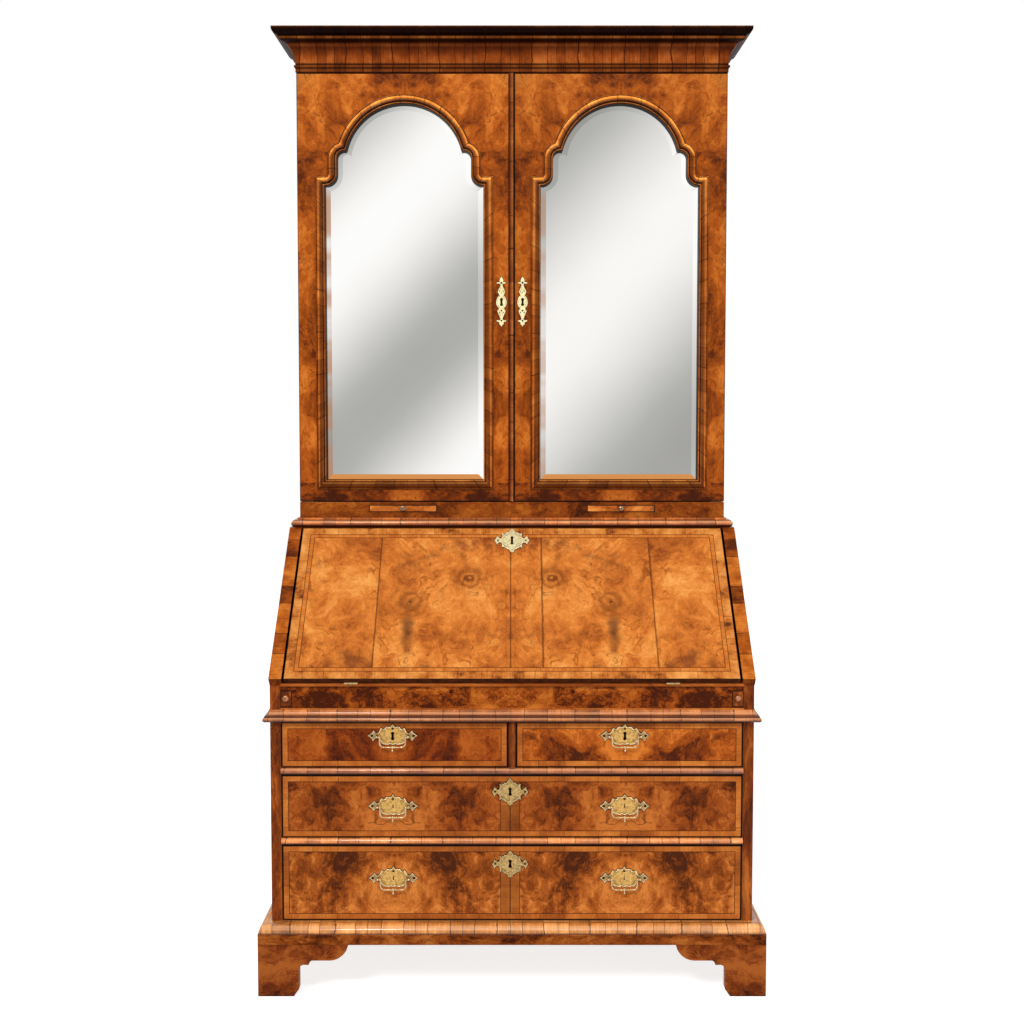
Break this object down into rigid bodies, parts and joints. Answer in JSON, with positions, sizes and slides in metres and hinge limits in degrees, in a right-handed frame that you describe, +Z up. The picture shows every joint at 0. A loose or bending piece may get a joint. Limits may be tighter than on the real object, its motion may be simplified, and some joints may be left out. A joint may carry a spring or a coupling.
{
  "type": "bureau bookcase",
  "caption": "Slope-front writing bureau with drawers on bracket feet, under a bookcase with arched mirror doors and a moulded cornice",
  "frame": {"origin": "centre of the footprint of the whole piece, on the floor", "axes": "+X to the viewer's right, +Y to the back, +Z up; the front faces -Y"},
  "size_m": [1.0694, 0.5314, 2.0805],
  "materials": {
    "walnut": "figured walnut veneer, French polished",
    "cross_walnut": "cross-grain walnut mouldings, polished",
    "oak": "plain oak and pine, waxed",
    "brass": "engraved brass, softly worn",
    "mirror": "bevelled silvered plate glass"
  },
  "bodies": {
    "case": {"case_side_left": "walnut", "case_side_right": "walnut", "case_back": "oak", "drawer_rails": "cross_walnut", "dust_boards": "oak", "desk_board": "walnut", "frieze": "walnut", "loper_guides": "oak", "writing_board": "oak", "desk_top": "walnut", "plinth_moulding": "cross_walnut", "mid_moulding": "cross_walnut", "waist_moulding": "cross_walnut", "cornice": "cross_walnut", "foot_front_left": "cross_walnut", "foot_front_right": "cross_walnut", "feet_rear": "cross_walnut", "pigeonholes": "oak", "bookcase_side_left": "walnut", "bookcase_side_right": "walnut", "bookcase_back": "oak", "bookcase_shelves": "oak", "bookcase_decks": "oak", "candle_rail": "cross_walnut", "case_hinges": "brass"},
    "door_left": {"door_frame_left": "walnut", "door_sash_left": "cross_walnut", "door_mirror_left": "mirror", "door_brasses_left": "brass"},
    "door_right": {"door_frame_right": "walnut", "door_sash_right": "cross_walnut", "door_mirror_right": "mirror", "door_brasses_right": "brass"},
    "fall": {"fall_panel": "walnut", "fall_brasses": "brass"},
    "loper_slide_left": {"loper_left": "cross_walnut"},
    "candle_shelf_left": {"candle_slide_left": "cross_walnut"},
    "small_drawer_left": {"nest_drawer_left": "oak"},
    "loper_slide_right": {"loper_right": "cross_walnut"},
    "candle_shelf_right": {"candle_slide_right": "cross_walnut"},
    "small_drawer_right": {"nest_drawer_right": "oak"},
    "drawer_top_left": {"drawer_front_top_left": "walnut", "drawer_box_top_left": "oak", "drawer_brasses_top_left": "brass"},
    "drawer_top_right": {"drawer_front_top_right": "walnut", "drawer_box_top_right": "oak", "drawer_brasses_top_right": "brass"},
    "drawer_middle": {"drawer_front_middle": "walnut", "drawer_box_middle": "oak", "drawer_brasses_middle": "brass"},
    "drawer_bottom": {"drawer_front_bottom": "walnut", "drawer_box_bottom": "oak", "drawer_brasses_bottom": "brass"},
    "handle_top_left": {"bail_top_left": "brass"},
    "handle_top_right": {"bail_top_right": "brass"},
    "handle_middle_left": {"bail_middle_left": "brass"},
    "handle_middle_right": {"bail_middle_right": "brass"},
    "handle_bottom_left": {"bail_bottom_left": "brass"},
    "handle_bottom_right": {"bail_bottom_right": "brass"}
  },
  "joints": [
    {"name": "door_left_pivot", "type": "hinge", "parent": "case", "child": "door_left", "pos_m": [-0.4825, 0.08315, 1.504], "axis": [0, 0, -1], "range_deg": [0, 125]},
    {"name": "door_right_pivot", "type": "hinge", "parent": "case", "child": "door_right", "pos_m": [0.4825, 0.08315, 1.504], "axis": [0, 0, 1], "range_deg": [0, 125]},
    {"name": "fall_hinge", "type": "hinge", "parent": "case", "child": "fall", "pos_m": [0, -0.24527, 0.66136], "axis": [1, 0, 0], "range_deg": [0, 136.66]},
    {"name": "loper_left_slide", "type": "slide", "parent": "case", "child": "loper_slide_left", "axis": [0, -1, 0], "range_m": [0, 0.24]},
    {"name": "loper_right_slide", "type": "slide", "parent": "case", "child": "loper_slide_right", "axis": [0, -1, 0], "range_m": [0, 0.24]},
    {"name": "candle_left_slide", "type": "slide", "parent": "case", "child": "candle_shelf_left", "axis": [0, -1, 0], "range_m": [0, 0.1]},
    {"name": "candle_right_slide", "type": "slide", "parent": "case", "child": "candle_shelf_right", "axis": [0, -1, 0], "range_m": [0, 0.1]},
    {"name": "small_drawer_left_slide", "type": "slide", "parent": "case", "child": "small_drawer_left", "axis": [0, -1, 0], "range_m": [0, 0.14]},
    {"name": "small_drawer_right_slide", "type": "slide", "parent": "case", "child": "small_drawer_right", "axis": [0, -1, 0], "range_m": [0, 0.14]},
    {"name": "drawer_top_left_slide", "type": "slide", "parent": "case", "child": "drawer_top_left", "axis": [0, -1, 0], "range_m": [0, 0.35]},
    {"name": "drawer_top_right_slide", "type": "slide", "parent": "case", "child": "drawer_top_right", "axis": [0, -1, 0], "range_m": [0, 0.35]},
    {"name": "drawer_middle_slide", "type": "slide", "parent": "case", "child": "drawer_middle", "axis": [0, -1, 0], "range_m": [0, 0.35]},
    {"name": "drawer_bottom_slide", "type": "slide", "parent": "case", "child": "drawer_bottom", "axis": [0, -1, 0], "range_m": [0, 0.35]},
    {"name": "handle_top_left_swing", "type": "hinge", "parent": "drawer_top_left", "child": "handle_top_left", "pos_m": [-0.2505, -0.24935, 0.549], "axis": [-1, 0, 0], "range_deg": [0, 85]},
    {"name": "handle_top_right_swing", "type": "hinge", "parent": "drawer_top_right", "child": "handle_top_right", "pos_m": [0.237, -0.24935, 0.549], "axis": [-1, 0, 0], "range_deg": [0, 85]},
    {"name": "handle_middle_left_swing", "type": "hinge", "parent": "drawer_middle", "child": "handle_middle_left", "pos_m": [-0.2505, -0.24935, 0.3993], "axis": [-1, 0, 0], "range_deg": [0, 85]},
    {"name": "handle_middle_right_swing", "type": "hinge", "parent": "drawer_middle", "child": "handle_middle_right", "pos_m": [0.237, -0.24935, 0.3993], "axis": [-1, 0, 0], "range_deg": [0, 85]},
    {"name": "handle_bottom_left_swing", "type": "hinge", "parent": "drawer_bottom", "child": "handle_bottom_left", "pos_m": [-0.2505, -0.24935, 0.2447], "axis": [-1, 0, 0], "range_deg": [0, 85]},
    {"name": "handle_bottom_right_swing", "type": "hinge", "parent": "drawer_bottom", "child": "handle_bottom_right", "pos_m": [0.237, -0.24935, 0.2447], "axis": [-1, 0, 0], "range_deg": [0, 85]}
  ]
}
